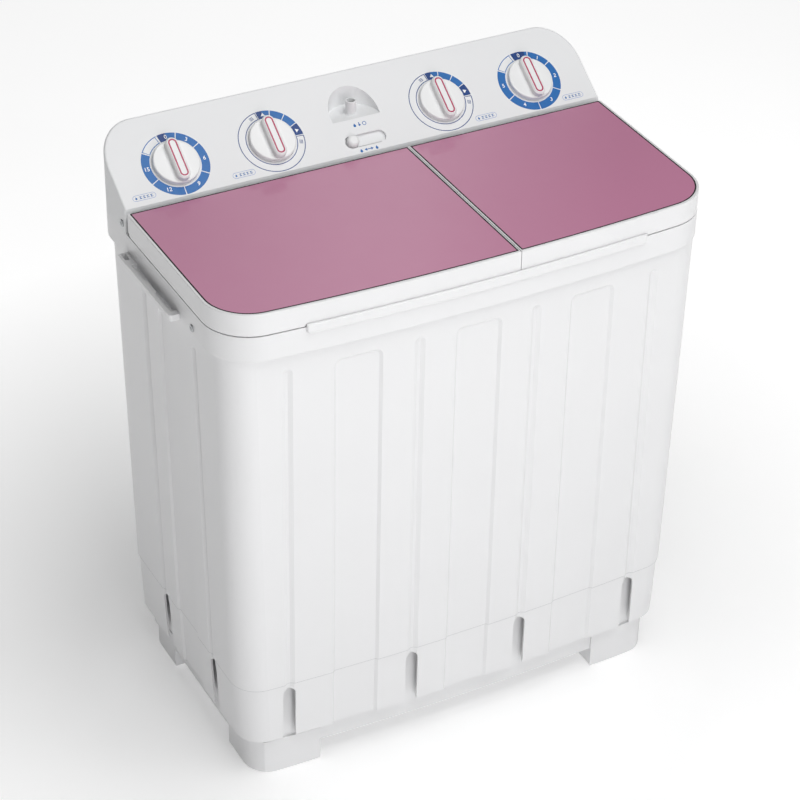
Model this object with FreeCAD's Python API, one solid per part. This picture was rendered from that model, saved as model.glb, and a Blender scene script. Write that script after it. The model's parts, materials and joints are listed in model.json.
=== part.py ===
import FreeCAD, Part
import math
import os

# Twin tub washing machine: a wash tub with a pulsator on the left and a spin basket on the right,
# under two hinged lids, with a sloping control console along the back.
# Frame: +X to the user's right, -Y towards the user, +Z up. The origin is on the floor, under the
# centre of the machine's box. All sizes are in millimetres.

V = FreeCAD.Vector
X_AXIS = V(1, 0, 0)
Y_AXIS = V(0, 1, 0)
Z_AXIS = V(0, 0, 1)

# ---------------------------------------------------------------- driving dimensions
HALF_WIDTH = 385.0        # lids and rim band, half of the overall width without the handles
FRONT = -224.3            # lids' front edge at the middle
BACK = 229.0              # console and rim, back face
BOW = 16.4                # how far the front bulges forward between x = -380 and x = +380
BOW_SPAN = 380.0
BOW_RADIUS = (BOW_SPAN ** 2 + BOW ** 2) / (2 * BOW)
LID_TOP = 824.4
SKIRT_Z = 791.5           # bottom edge of the lids
RIM_TOP = 789.5
RIM_Z = 750.0             # bottom of the rim band, top of the cabinet
RIM_EDGE_R = 1.2
SEAM_Z = 172.0            # cabinet to base
SKIRT_BASE_Z = 71.0       # bottom of the base skirt
CONSOLE_TOP = 920.0       # the slope cuts this block off at about 905
WALL = 3.0

CORNER_R = 70.0           # plan radius of the lids' and rim's front corners
CASE_R = 54.0             # the same below the rim, before its inset
BACK_R = 56.0             # plan radius of the back corners
CABINET_TOP_INSET = 8.0
CABINET_LOW_INSET = 20.0  # sides only: the cabinet tapers towards the floor
BASE_TOP_INSET = 22.5
BASE_LOW_INSET = 27.0
FRONT_LOW_INSET = 10.0
BASE_FRONT_INSET = 12.0
BACK_INSET = 8.0
RELIEF = 3.5              # depth of the moulded flutes and panels
PANEL_SLOPE = 4.5 / 3.5   # width of the panels' sloping walls over their depth
FLUTE_SLOPE = 6.0 / 3.5
WALL_LEAN = 0.33          # how much wider the lining's flutes are, per unit of wall
SIDE_DROP = 4.0           # how far the side flutes and panels end below the front ones

FLUTE_W = 16.0
FLUTE_TOP = 724.0
FRONT_FLUTES = (-290.0, -92.0, 92.0, 290.0)
PANEL_W = 74.0
PANEL_TOP = 722.0
PANEL_R = 12.0
FRONT_PANELS = (-185.0, 0.0, 185.0)
SIDE_FLUTES = (-93.0, 79.0)
SIDE_PANEL = -7.0
NOTCH_W = 20.0
NOTCH_TOP = 162.0
LEDGE_T = 4.0             # ledge of the base skirt under the cabinet
LEDGE_IN = 24.0

HANDLE_Y = (-69.0, 112.0)  # side handles, front to back
HANDLE_OUT = 15.0
HANDLE_TOP = 761.0
TROUGH_Y = (-58.0, 77.0)
TROUGH_W = 9.0            # out from the rim's face
TROUGH_Z = 754.0
HOOK_Y = (-6.0, 33.0)
HOOK_GAP = 5.5            # between the hook and the rim's face
POCKET_Y = (92.0, 108.5)
POCKET_X = (4.5, 11.0)    # out from the rim's face
POCKET_Z = 752.5

LIP_HALF = 266.0          # raised lip along the front of the rim
LIP_LOW = 779.5
LIP_TOP = 795.0
LIP_OUT = 4.7
LIP_GAP = 0.7             # lip's upper strip to the lids' skirt
LIP_R = 6.5               # its lower corners

SPLIT_X = 58.0            # gap between the two lids
SPLIT_GAP = 1.0
LID_BACK = 107.5
PLATE_Z = 819.0           # underside of the lid's top plate
LID_EDGE_R = 1.2
INLAY_Z = 821.0           # underside of the coloured panel
INLAY_RIM = 4.5           # white border outside the panel
SPLIT_RIM = 2.5           # the border beside the split and along the back edge
BACK_RIM = 2.0
INLAY_GAP = 1.1           # dark groove round the panel
HINGE_Y = 96.0
HINGE_Z = 813.5
PIN_R = 2.5
PIN_FIT = 0.05

CONSOLE_FRONT = 113.5
FACE_Y = 109.0            # where the sloping face's plane meets the lids' top
FACE_ANGLE = math.radians(34.2)
DIAL_S = 57.0             # dial centres, measured up the face
DIAL_X = (-288.0, -138.0, 138.0, 288.0)
DIAL_NAMES = ("wash_timer", "wash_selector", "drain_selector", "spin_timer")
KNOB_R = 34.5
KNOB_LIFT = 0.8
KNOB_DISC = 8.5
BAR_TOP = 19.0
SHAFT_R = 3.0

INLET_S = 61.7            # front edge of the inlet pocket's floor, up the face
INLET_HALF = 38.5
INLET_STRAIGHT = 6.5
STUB_R = 8.2
STUB_H = 20.5
STUB_BORE = 6.0
STUB_NECK = 7.6            # outside radius below the pocket's floor
STUB_DROP = 34.0
STUB_RING = 9.4            # ring round the foot of the stub
STUB_RING_H = 1.0
STUB_Y = 178.5

SLOT_S = 26.0             # water selector slot
SLOT_HALF = 33.0
SLOT_R = 10.0
SLOT_DEPTH = 5.0
SLIDE_X = -21.0           # the slider's knob at rest
SLIT_HALF = 24.4          # slit for the slider's stem, along the lower edge of the tray
SLIT_LOW = -9.6
SLIT_HIGH = -7.2
SLIDER_TOP = 8.0
SHOE_LOW = 13.0            # foot of the slider, below the face

WASH = (-345.0, 45.0, -196.0, 96.0)      # wash tub outside: x0, x1, y0, y1
WASH_R = 60.0
WASH_BOTTOM = 327.0
TUB_TOP = 785.0
DECK_T = 3.0
UPSTAND_TOP = 797.0
UPSTAND_IN = 6.5
PULSATOR = (-155.0, -50.0)
PULSATOR_R = 130.0
SPIN = (205.0, -52.0)
SPIN_R = 146.0
SPIN_BOTTOM = 362.0
SPIN_MOUTH = 138.0
BASKET_R = 130.0
BASKET_Z = (398.0, 752.0)

MOTOR = (-60.0, 60.0)     # wash motor axis
BELT_Z = 217.0
BELT_H = 10.0

DRAIN = (60.0, 142.0)     # drain valve axis
SPIGOT_Z = 120.0
SPIGOT_R = 14.0
SPIGOT_END = 226.0

os.makedirs("parts", exist_ok=True)
built = []


# ---------------------------------------------------------------- small helpers
def save(name, shape):
    """Write one node, made of one or more separate solids."""
    solids = shape.Solids
    assert solids and all(s.isValid() for s in solids), name
    out = solids[0] if len(solids) == 1 else Part.makeCompound(solids)
    out.exportStep("parts/%s.step" % name)
    built.append(name)


def box(x0, x1, y0, y1, z0, z1):
    return Part.makeBox(x1 - x0, y1 - y0, z1 - z0, V(x0, y0, z0))


def rod(r, length, base, axis=Z_AXIS):
    return Part.makeCylinder(r, length, V(*base), axis)


def tube(r_out, r_in, length, base, axis=Z_AXIS):
    return rod(r_out, length, base, axis).cut(rod(r_in, length, base, axis))


def fuse(shapes):
    first = shapes[0]
    return first.fuse(shapes[1:]).removeSplitter() if len(shapes) > 1 else first


def revolve(points, centre, axis_z=0.0):
    """Turn a closed profile of (radius, height) points about a vertical axis."""
    wire = Part.makePolygon([V(r, 0, z) for r, z in points] + [V(points[0][0], 0, points[0][1])])
    solid = Part.Face(wire).revolve(V(0, 0, 0), Z_AXIS, 360)
    solid.translate(V(centre[0], centre[1], axis_z))
    return solid


def ring_of(count, radius, centre, offset=0.0):
    """Evenly spaced points on a circle."""
    step = 2 * math.pi / count
    return [(centre[0] + radius * math.cos(offset + i * step),
             centre[1] + radius * math.sin(offset + i * step)) for i in range(count)]


def rounded_rect(x0, x1, y0, y1, r, z0, z1):
    """Upright prism with rounded corners."""
    body = box(x0, x1, y0, y1, z0, z1)
    return body.makeFillet(r, [e for e in body.Edges if is_upright(e)])


def bend(a, b, c):
    """Circular edge from a through b to c."""
    return Part.Arc(a, b, c).toShape()


def is_upright(edge):
    return edge.Length > 1e-6 and abs(edge.tangentAt(edge.FirstParameter).z) > 0.999


def edges_near(shape, test):
    """Edges whose whole box passes the test."""
    return [e for e in shape.Edges if test(e.BoundBox)]


def stadium(half, r, z0, z1):
    """Upright slot shape along X, centred on the origin."""
    bar = box(-half + r, half - r, -r, r, z0, z1)
    return fuse([bar, rod(r, z1 - z0, (-half + r, 0, z0)), rod(r, z1 - z0, (half - r, 0, z0))])


def is_level(edge):
    """True where the edge runs front to back."""
    return abs(edge.tangentAt(edge.FirstParameter).y) > 0.99


def on_face(shape, x, s):
    """Carry a shape from its own XY plane to a point on the console's sloping face."""
    up = V(0, math.cos(FACE_ANGLE), math.sin(FACE_ANGLE))
    out = V(0, -math.sin(FACE_ANGLE), math.cos(FACE_ANGLE))
    spot = V(x, FACE_Y, LID_TOP) + up * s
    turn = FreeCAD.Rotation(X_AXIS, up, out, "ZXY")
    return shape.transformed(FreeCAD.Placement(spot, turn).toMatrix())


# ---------------------------------------------------------------- the machine's plan outline
def outline(z, side=0.0, front=0.0, back=0.0, back_edge=BACK, back_r=BACK_R, front_r=CORNER_R):
    """Closed plan wire: bowed front, rounded corners, moved in by the three insets."""
    half = HALF_WIDTH - side
    y_front = FRONT + front
    y_back = back_edge - back
    big = BOW_RADIUS - front
    r = front_r - front
    rb = max(back_r - back, 0.5)
    cx = half - r
    cy = y_front + big - math.sqrt((big - r) ** 2 - cx ** 2)
    big_c = V(0, y_front + big, z)
    lean = (V(cx, cy, z) - big_c).normalize()
    touch = big_c + lean * big
    turn = (lean + X_AXIS).normalize()
    diag = math.sqrt(0.5)

    def mirrored(p):
        return V(-p.x, p.y, p.z)

    mid = V(cx, cy, z) + turn * r
    side_low = V(half, cy, z)
    side_high = V(half, y_back - rb, z)
    back_mid = V(half - rb + rb * diag, y_back - rb + rb * diag, z)
    back_end = V(half - rb, y_back, z)
    edges = [
        bend(mirrored(touch), V(0, y_front, z), touch),
        bend(touch, mid, side_low),
        Part.makeLine(side_low, side_high),
        bend(side_high, back_mid, back_end),
        Part.makeLine(back_end, mirrored(back_end)),
        bend(mirrored(back_end), mirrored(back_mid), mirrored(side_high)),
        Part.makeLine(mirrored(side_high), mirrored(side_low)),
        bend(mirrored(side_low), mirrored(mid), mirrored(touch)),
    ]
    return Part.Wire(edges)


def prism(z0, z1, inset=0.0, back=None, back_edge=BACK, back_r=BACK_R):
    """Straight block on the plan outline."""
    back = inset if back is None else back
    wire = outline(z0, inset, inset, back, back_edge, back_r)
    return Part.Face(wire).extrude(V(0, 0, z1 - z0))


def tapered(z0, z1, low, high, inset):
    """Block between two outlines; low and high are (side, front) insets."""
    wires = [outline(z, side + inset, front + inset, BACK_INSET + inset, front_r=CASE_R)
             for z, (side, front) in ((z0, low), (z1, high))]
    return Part.makeLoft(wires, True, True)


def front_spot(x, z, inset):
    """Point of the bowed front at x, for an outline moved in by the inset."""
    big = BOW_RADIUS - inset
    return V(x, FRONT + inset + big - math.sqrt(big ** 2 - x ** 2), z)


def groove(low, high, along, width, top, radius, slope, grow):
    """Cutter for one moulded flute or panel: sloping walls, a rounded top, open at the bottom."""
    up = (high - low).normalize()
    out = along.cross(up).normalize()
    start = low - up * 5 - out * grow
    length = (top - start.z) / up.z
    radius = min(radius, width / 2 - 0.4)
    widen = grow * WALL_LEAN

    def ring(depth):
        shrink = depth * slope - widen
        half = width / 2 - shrink
        r = radius - shrink
        peak = length - shrink
        near = r * (1 - math.sqrt(0.5))

        def place(a, b):
            return start + along * a + up * b - out * depth

        return Part.Wire([
            Part.makeLine(place(-half, 0), place(-half, peak - r)),
            bend(place(-half, peak - r), place(near - half, peak - near), place(r - half, peak)),
            Part.makeLine(place(r - half, peak), place(half - r, peak)),
            bend(place(half - r, peak), place(half - near, peak - near), place(half, peak - r)),
            Part.makeLine(place(half, peak - r), place(half, 0)),
            Part.makeLine(place(half, 0), place(-half, 0)),
        ])

    return Part.makeLoft([ring(-1.0), ring(RELIEF)], True, True)


def grooves(z0, z1, low, high, grow):
    """Cutters for every flute and panel of a tapered skin, or of its lining where grow is the wall."""
    cutters = []
    flute = (FLUTE_W, FLUTE_TOP, FLUTE_W / 2, FLUTE_SLOPE)
    panel = (PANEL_W, PANEL_TOP, PANEL_R, PANEL_SLOPE)
    front = [(x, flute) for x in FRONT_FLUTES] + [(x, panel) for x in FRONT_PANELS]
    for x, (width, top, radius, slope) in front:
        ends = front_spot(x, z0, low[1]), front_spot(x, z1, high[1])
        along = V(math.sqrt(BOW_RADIUS ** 2 - x ** 2), x, 0).normalize()
        cutters.append(groove(*ends, along, width, top, radius, slope, grow))
    for y, (width, top, radius, slope) in [(y, flute) for y in SIDE_FLUTES] + [(SIDE_PANEL, panel)]:
        for sign in (-1, 1):
            ends = (V(sign * (HALF_WIDTH - inset), y, z) for inset, z in ((low[0], z0), (high[0], z1)))
            cutters.append(groove(*ends, V(0, sign, 0), width, top - SIDE_DROP, radius, slope, grow))
    return Part.makeCompound(cutters)


def moulded_shell(z0, z1, low, high):
    """Tapered shell whose wall steps in at every flute and panel."""
    outside = tapered(z0, z1, low, high, 0.0).cut(grooves(z0, z1, low, high, 0.0))
    inside = tapered(z0, z1, low, high, WALL).cut(grooves(z0, z1, low, high, WALL))
    return outside.cut(inside)


# ---------------------------------------------------------------- casing
def make_cabinet():
    shell = moulded_shell(SEAM_Z, RIM_Z, (CABINET_LOW_INSET, FRONT_LOW_INSET),
                          (CABINET_TOP_INSET, CABINET_TOP_INSET))
    service_door = box(-290, 290, BACK - 30, BACK, 205, 690)
    holes = [rod(COVER_HOLE_R, 40, (x, BACK - 40, z), Y_AXIS) for x, z in COVER_SCREWS]
    save("cabinet", shell.cut(service_door).cut(Part.makeCompound(holes)))


def make_base_skirt():
    """Wall round the chassis with a ledge under the cabinet, notched below every flute."""
    low = (BASE_LOW_INSET, BASE_FRONT_INSET + 1)
    high = (BASE_TOP_INSET, BASE_FRONT_INSET)
    ledge_z = SEAM_Z - LEDGE_T
    shell = moulded_shell(SKIRT_BASE_Z, ledge_z, low, high)
    ledge = tapered(ledge_z, SEAM_Z, high, high, 0.0).cut(tapered(ledge_z, SEAM_Z, high, high, LEDGE_IN))
    ledge = ledge.cut(grooves(SKIRT_BASE_Z, ledge_z, low, high, 0.0))
    half = NOTCH_W / 2
    peak = NOTCH_TOP - half
    notches = []
    for x in FRONT_FLUTES:
        notches.append(box(x - half, x + half, FRONT - 5, FRONT + 75, SKIRT_BASE_Z - 1, peak))
        notches.append(rod(half, 80, (x, FRONT - 5, peak), Y_AXIS))
    for y in SIDE_FLUTES:
        for x in (-HALF_WIDTH - 5, HALF_WIDTH - 45):
            notches.append(box(x, x + 50, y - half, y + half, SKIRT_BASE_Z - 1, peak))
            notches.append(rod(half, 50, (x, y, peak), X_AXIS))
    hose_way = rod(SPIGOT_R + 6, 60, (DRAIN[0], BACK - 50, SPIGOT_Z), Y_AXIS)
    skirt = shell.fuse(ledge).removeSplitter()
    save("base_skirt", skirt.cut(Part.makeCompound(notches)).cut(hose_way))


FOOT_X = (236.0, 345.0)
FOOT_Y = ((-196.0, -104.0), (95.0, 196.0))
FOOT_R = 44.0
CHASSIS_INSET = (41.0, 27.0, 24.0)        # side, front, back
CHASSIS_BASE = 35.0
FLOOR_Z = 60.0
FLOOR_T = 4.0


def chassis_block(z0, z1, inset):
    side, front, back = (v + inset for v in CHASSIS_INSET)
    return Part.Face(outline(z0, side, front, back, front_r=CASE_R)).extrude(V(0, 0, z1 - z0))


def make_chassis():
    """Moulded tray inside the skirt: a wall, a floor that carries the spin motor and four hollow feet."""
    ledge_z = SEAM_Z - LEDGE_T
    tray = chassis_block(CHASSIS_BASE, ledge_z, 0.0).cut(chassis_block(FLOOR_Z + FLOOR_T, ledge_z, WALL))
    tray = tray.cut(chassis_block(CHASSIS_BASE, FLOOR_Z, WALL))
    for y0, y1 in FOOT_Y:
        for sign in (-1, 1):
            x0, x1 = sorted((sign * FOOT_X[0], sign * FOOT_X[1]))
            outer = box(x0, x1, y0, y1, 0, FLOOR_Z + 1)
            corner_x = sign * FOOT_X[1]
            corner_y = y0 if y0 < 0 else y1
            round_edge = [e for e in outer.Edges if is_upright(e) and abs(e.BoundBox.XMin - corner_x) < 0.1
                          and abs(e.BoundBox.YMin - corner_y) < 0.1]
            outer = outer.makeFillet(FOOT_R, round_edge)
            outer = outer.makeFillet(6, edges_near(outer, lambda b: b.ZMax < 0.1))
            outer = outer.common(chassis_block(-1, FLOOR_Z + 1, -4.0))
            tray = tray.fuse(outer)
    tray = tray.removeSplitter()
    for y0, y1 in FOOT_Y:
        for sign in (-1, 1):
            x0, x1 = sorted((sign * (FOOT_X[0] + WALL), sign * (FOOT_X[1] - 36)))
            tray = tray.cut(box(x0, x1, y0 + 30, y1 - 30, WALL, FLOOR_Z + 5))
    cups = [tube(17, 14.5, 9, (x, y, FLOOR_Z + FLOOR_T - 1)) for x, y in spring_seats()]
    hose_way = rod(SPIGOT_R + 6, 60, (DRAIN[0], BACK - 60, SPIGOT_Z), Y_AXIS)
    save("chassis", fuse([tray] + cups).cut(hose_way))


def spring_seats():
    """Where the spin motor's three springs stand on the chassis floor."""
    return ring_of(3, 76, SPIN, math.pi / 2)


def front_lip():
    """Raised lip along the front; its upper strip stands in front of the lids' skirt."""
    span = box(-LIP_HALF, LIP_HALF, FRONT - 40, FRONT + 75, LIP_LOW, LIP_TOP)
    span = span.makeFillet(LIP_R, edges_near(span, lambda b: b.ZMax < LIP_LOW + 0.1 and b.XLength < 0.1))
    lip = prism(LIP_LOW, LIP_TOP, -LIP_OUT).common(span)
    for z, radius in ((LIP_LOW, 4.0), (LIP_TOP, 1.2)):
        long_edges = edges_near(lip, lambda b: b.YMax < FRONT + BOW and b.XLength > 300)
        level = [e for e in long_edges if abs(e.BoundBox.ZMin - z) < 0.1 and e.BoundBox.ZLength < 0.1]
        lip = lip.makeFillet(radius, level)
    return lip.cut(prism(RIM_TOP, LIP_TOP + 1, -LIP_GAP))


def make_rim():
    """Top frame: rim band, deck plate with the two tub mouths, hinge lugs and the raised front lip."""
    block = prism(RIM_Z, RIM_TOP)
    block = block.makeFillet(RIM_EDGE_R, edges_near(block, lambda b: b.ZMax < RIM_Z + 0.1))
    block = block.fuse(front_lip())
    deck_top = TUB_TOP + DECK_T
    block = block.cut(prism(RIM_Z + WALL, TUB_TOP, WALL))
    block = block.cut(prism(deck_top, RIM_TOP + 1, WALL))
    block = block.cut(prism(RIM_Z - 1, RIM_Z + WALL + 1, CABINET_TOP_INSET + WALL + 3))
    # a low wall round the deck keeps splashes away from the seam under the lids
    upstand = prism(TUB_TOP, UPSTAND_TOP, UPSTAND_IN, back=BACK - LID_BACK + 2)
    upstand = upstand.cut(prism(TUB_TOP, UPSTAND_TOP + 1, UPSTAND_IN + 2.5, back=BACK - LID_BACK + 4.5))
    upstand = upstand.cut(box(-400, 400, 90, 120, RIM_TOP - 2, UPSTAND_TOP + 1))
    x0, x1, y0, y1 = (edge + step for edge, step in zip(WASH, (WALL, -WALL, WALL, -WALL)))
    mouth = rounded_rect(x0, x1, y0, y1, WASH_R - WALL, TUB_TOP - 1, deck_top + 1)
    spin_mouth = rod(SPIN_MOUTH, 8, (SPIN[0], SPIN[1], TUB_TOP - 2))
    wire_way = box(-60, 140, 125, 200, TUB_TOP - 1, deck_top + 1)
    block = fuse([block, upstand]).cut(Part.makeCompound([mouth, spin_mouth, wire_way]))
    lugs = [hinge_lug(x) for x in LUG_X]
    ears = [cover_ear(x) for x in COVER_EARS]
    save("rim_frame", fuse([block] + lugs + ears).cut(side_holes(*RIM_SCREW)))


LUG_X = (-330.0, 5.0, 95.0, 345.0)
LUG_HALF = 5.0
COVER_EARS = (SPIN[0] - 32.0, SPIN[0] + 32.0)
COVER_Y = 97.5
COVER_Z = 795.0
COVER_PIN_R = 2.0


def hinge_lug(x):
    post = box(x - LUG_HALF, x + LUG_HALF, HINGE_Y - 4, HINGE_Y + 2, TUB_TOP + 1, HINGE_Z)
    eye = rod(4.0, 2 * LUG_HALF, (x - LUG_HALF, HINGE_Y, HINGE_Z), X_AXIS)
    return fuse([post, eye]).cut(rod(PIN_R, 2 * LUG_HALF, (x - LUG_HALF, HINGE_Y, HINGE_Z), X_AXIS))


def cover_ear(x):
    post = box(x - 3, x + 3, COVER_Y - 3, COVER_Y + 3, TUB_TOP + 1, COVER_Z)
    eye = rod(3.6, 6, (x - 3, COVER_Y, COVER_Z), X_AXIS)
    return fuse([post, eye]).cut(rod(COVER_PIN_R, 6, (x - 3, COVER_Y, COVER_Z), X_AXIS))


def make_handle(name, sign):
    """Side handle: a shallow trough along the rim, a hose hook in its middle and a small pocket behind."""
    wall = -HALF_WIDTH
    grip = box(wall - HANDLE_OUT, wall, *HANDLE_Y, RIM_Z, HANDLE_TOP)
    grip = grip.makeFillet(5, [e for e in grip.Edges if is_upright(e) and e.BoundBox.XMax < wall - 5])
    grip = grip.makeFillet(3.5, edges_near(grip, lambda b: b.ZMax < RIM_Z + 0.1 and b.XMax < wall - 0.1))
    grip = grip.cut(box(wall - TROUGH_W, wall, *TROUGH_Y, TROUGH_Z, HANDLE_TOP + 1))
    hook = box(wall - TROUGH_W - 2, wall - HOOK_GAP, *HOOK_Y, TROUGH_Z - 1, HANDLE_TOP)
    hook = hook.makeFillet(4.5, [e for e in hook.Edges if is_upright(e) and e.BoundBox.XMin > wall - 6])
    behind_hook = box(wall - HOOK_GAP, wall, HOOK_Y[0] + 6, HOOK_Y[1] - 6, POCKET_Z, HANDLE_TOP + 1)
    pocket = box(wall - POCKET_X[1], wall - POCKET_X[0], *POCKET_Y, POCKET_Z, HANDLE_TOP + 1)
    grip = grip.fuse(hook).cut(behind_hook).cut(pocket).removeSplitter()
    if sign > 0:
        grip = grip.mirror(V(0, 0, 0), X_AXIS)
    save(name, grip)


def make_rear_cover():
    """Service cover over the opening at the back, with vent louvres and a hole for the lead."""
    back = BACK - BACK_INSET
    plate = box(-305, 305, back, back + 1.6, 190, 705)
    plate = plate.makeFillet(14, [e for e in plate.Edges if is_level(e)])
    stiffener = box(-270, 270, back + 1, back + 4, 225, 670)
    stiffener = stiffener.makeFillet(20, [e for e in stiffener.Edges if is_level(e)])
    hollow = box(-268.4, 268.4, back, back + 2.4, 226.6, 668.4)
    cover = plate.fuse(stiffener).cut(hollow)
    slots = []
    for row in range(8):
        for column in (-150.0, 0.0, 150.0):
            low = LOUVRE_Z + row * LOUVRE_PITCH
            slots.append(box(column - 45, column + 45, back - 1, back + 6, low, low + 5))
    cover = cover.cut(Part.makeCompound(slots))
    lead_x, lead_z = LEAD
    cover = cover.cut(rod(9, 20, (lead_x, back - 5, lead_z), Y_AXIS))
    holes = [rod(COVER_HOLE_R, 10, (x, back - 5, z), Y_AXIS) for x, z in COVER_SCREWS]
    cover = cover.cut(Part.makeCompound(holes))
    save("rear_cover", cover.removeSplitter())
    screws = [pan_screw(4.2, 2.0, 10.0, V(x, back + 1.6, z), Y_AXIS) for x, z in COVER_SCREWS]
    save("rear_cover_screws", Part.makeCompound(screws))
    grommet = tube(8.9, 4.0, 8, (lead_x, back - 4, lead_z), Y_AXIS)
    flange = tube(13, 4.0, 2.6, (lead_x, back + 4, lead_z), Y_AXIS)
    save("lead_grommet", fuse([grommet, flange]))


LOUVRE_Z = 300.0
LOUVRE_PITCH = 16.0
LEAD = (-230.0, 262.0)
COVER_HOLE_R = 2.2
COVER_SCREWS = [(x, z) for x in (-294.0, 294.0) for z in (199.0, 450.0, 696.0)]
COVER_SCREWS += [(0.0, 199.0), (0.0, 696.0)]


def pan_screw(head_r, head_h, length, seat, axis):
    """Pan-head screw whose head stands on the seat point and whose shank goes the other way."""
    screw = Part.makeCylinder(head_r, head_h, V(0, 0, 0), Z_AXIS)
    screw = screw.makeFillet(head_h * 0.6, edges_near(screw, lambda b: b.ZMin > head_h - 0.01))
    screw = screw.fuse(rod(head_r * 0.47, length, (0, 0, -length)))
    for angle in (0, 90):
        slot = box(-head_r * 0.6, head_r * 0.6, -0.5, 0.5, head_h - 0.9, head_h + 1)
        slot.rotate(V(0, 0, 0), Z_AXIS, angle)
        screw = screw.cut(slot)
    turn = FreeCAD.Rotation(Z_AXIS, axis)
    return screw.transformed(FreeCAD.Placement(seat, turn).toMatrix())


RIM_SCREW = (-111.0, 762.0)
CHEEK_SCREW = (125.0, 801.0)


def side_holes(y, z):
    """Screw holes through both side walls."""
    through = rod(2.8, 2 * HALF_WIDTH + 2, (-HALF_WIDTH - 1, y, z), X_AXIS)
    return through.cut(box(-370, 370, y - 10, y + 10, z - 10, z + 10))


def make_side_screws():
    """Two screws on each side: one into the rim near the front corner, one into the console's cheek."""
    screws = []
    for sign in (-1, 1):
        axis = V(sign, 0, 0)
        for y, z in (RIM_SCREW, CHEEK_SCREW):
            screws.append(pan_screw(5.5, 1.8, 9.0, V(sign * HALF_WIDTH, y, z), axis))
    save("side_screws", Part.makeCompound(screws))


# ---------------------------------------------------------------- lids
def lid_prism(z0, z1, inset, left, split_wall, back_wall):
    """Plan block of one lid, with its own inset at the split and at the back edge."""
    block = prism(z0, z1, inset, back=back_wall, back_edge=LID_BACK, back_r=4.0)
    edge = SPLIT_X - SPLIT_GAP / 2 - split_wall if left else SPLIT_X + SPLIT_GAP / 2 + split_wall
    keep = box(-500, edge, -500, 500, z0, z1) if left else box(edge, 500, -500, 500, z0, z1)
    return block.common(keep)


def make_lid(name, left, lugs):
    lid = lid_prism(SKIRT_Z, LID_TOP, 0.0, left, 0.0, 0.0)
    top_edges = edges_near(lid, lambda b: b.ZMin > LID_TOP - 0.1)
    lid = lid.makeFillet(LID_EDGE_R, top_edges)
    lid = lid.cut(lid_prism(SKIRT_Z - 1, PLATE_Z, WALL, left, 2.5, 3.0))
    # the skirt is shorter behind the rim's lip, which covers the seam there
    lid = lid.cut(box(-LIP_HALF - 1, LIP_HALF + 1, FRONT - 5, FRONT + 40, SKIRT_Z - 1, LIP_TOP - 0.5))
    # the wall beside the split and the wall at the back are shallow, to clear the deck and the lugs
    lid = lid.cut(box(SPLIT_X - 9, SPLIT_X + 9, FRONT + WALL + 0.6, 200, SKIRT_Z - 1, 803))
    inner_half = HALF_WIDTH - WALL
    lid = lid.cut(box(-inner_half, inner_half, 90, 120, SKIRT_Z - 1, 814))
    # the skirt's lower back corner is rounded
    sweep = box(-400, 400, LID_BACK - 15, LID_BACK + 5, SKIRT_Z - 1, SKIRT_Z + 14)
    sweep = sweep.cut(rod(15, 800, (-400, LID_BACK - 15, SKIRT_Z + 15), X_AXIS))
    lid = lid.cut(sweep)
    lid = lid.cut(lid_prism(INLAY_Z, LID_TOP + 1, INLAY_RIM, left, SPLIT_RIM, BACK_RIM))
    for x in lugs:
        lid = lid.cut(box(x - 6.2, x + 6.2, 84, 103, SKIRT_Z, PLATE_Z - 0.5))
        lid = lid.cut(box(x - 6.2, x + 6.2, 100, 120, SKIRT_Z, PLATE_Z - 0.5))
        for side in (-1, 1):
            start = x + side * 5.7 if side > 0 else x - 15.7
            knuckle = rod(4.6, 10, (start, HINGE_Y, HINGE_Z), X_AXIS)
            web = box(start, start + 10, HINGE_Y - 2.5, HINGE_Y + 2.5, HINGE_Z, PLATE_Z + 0.5)
            bore = rod(PIN_R + PIN_FIT, 10, (start, HINGE_Y, HINGE_Z), X_AXIS)
            lid = lid.fuse(fuse([knuckle, web])).cut(bore)
    save(name + "_frame", lid.removeSplitter())
    insets = (inset + INLAY_GAP for inset in (INLAY_RIM, SPLIT_RIM, BACK_RIM))
    rim, split, back = insets
    panel = lid_prism(INLAY_Z, LID_TOP, rim, left, split, back)
    panel = panel.makeFillet(0.7, edges_near(panel, lambda b: b.ZMin > LID_TOP - 0.1))
    save(name + "_panel", panel)


def make_hinge_pins():
    pins = [rod(PIN_R, 31.4, (x - 15.7, HINGE_Y, HINGE_Z), X_AXIS) for x in LUG_X]
    save("lid_hinge_pins", Part.makeCompound(pins))


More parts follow.
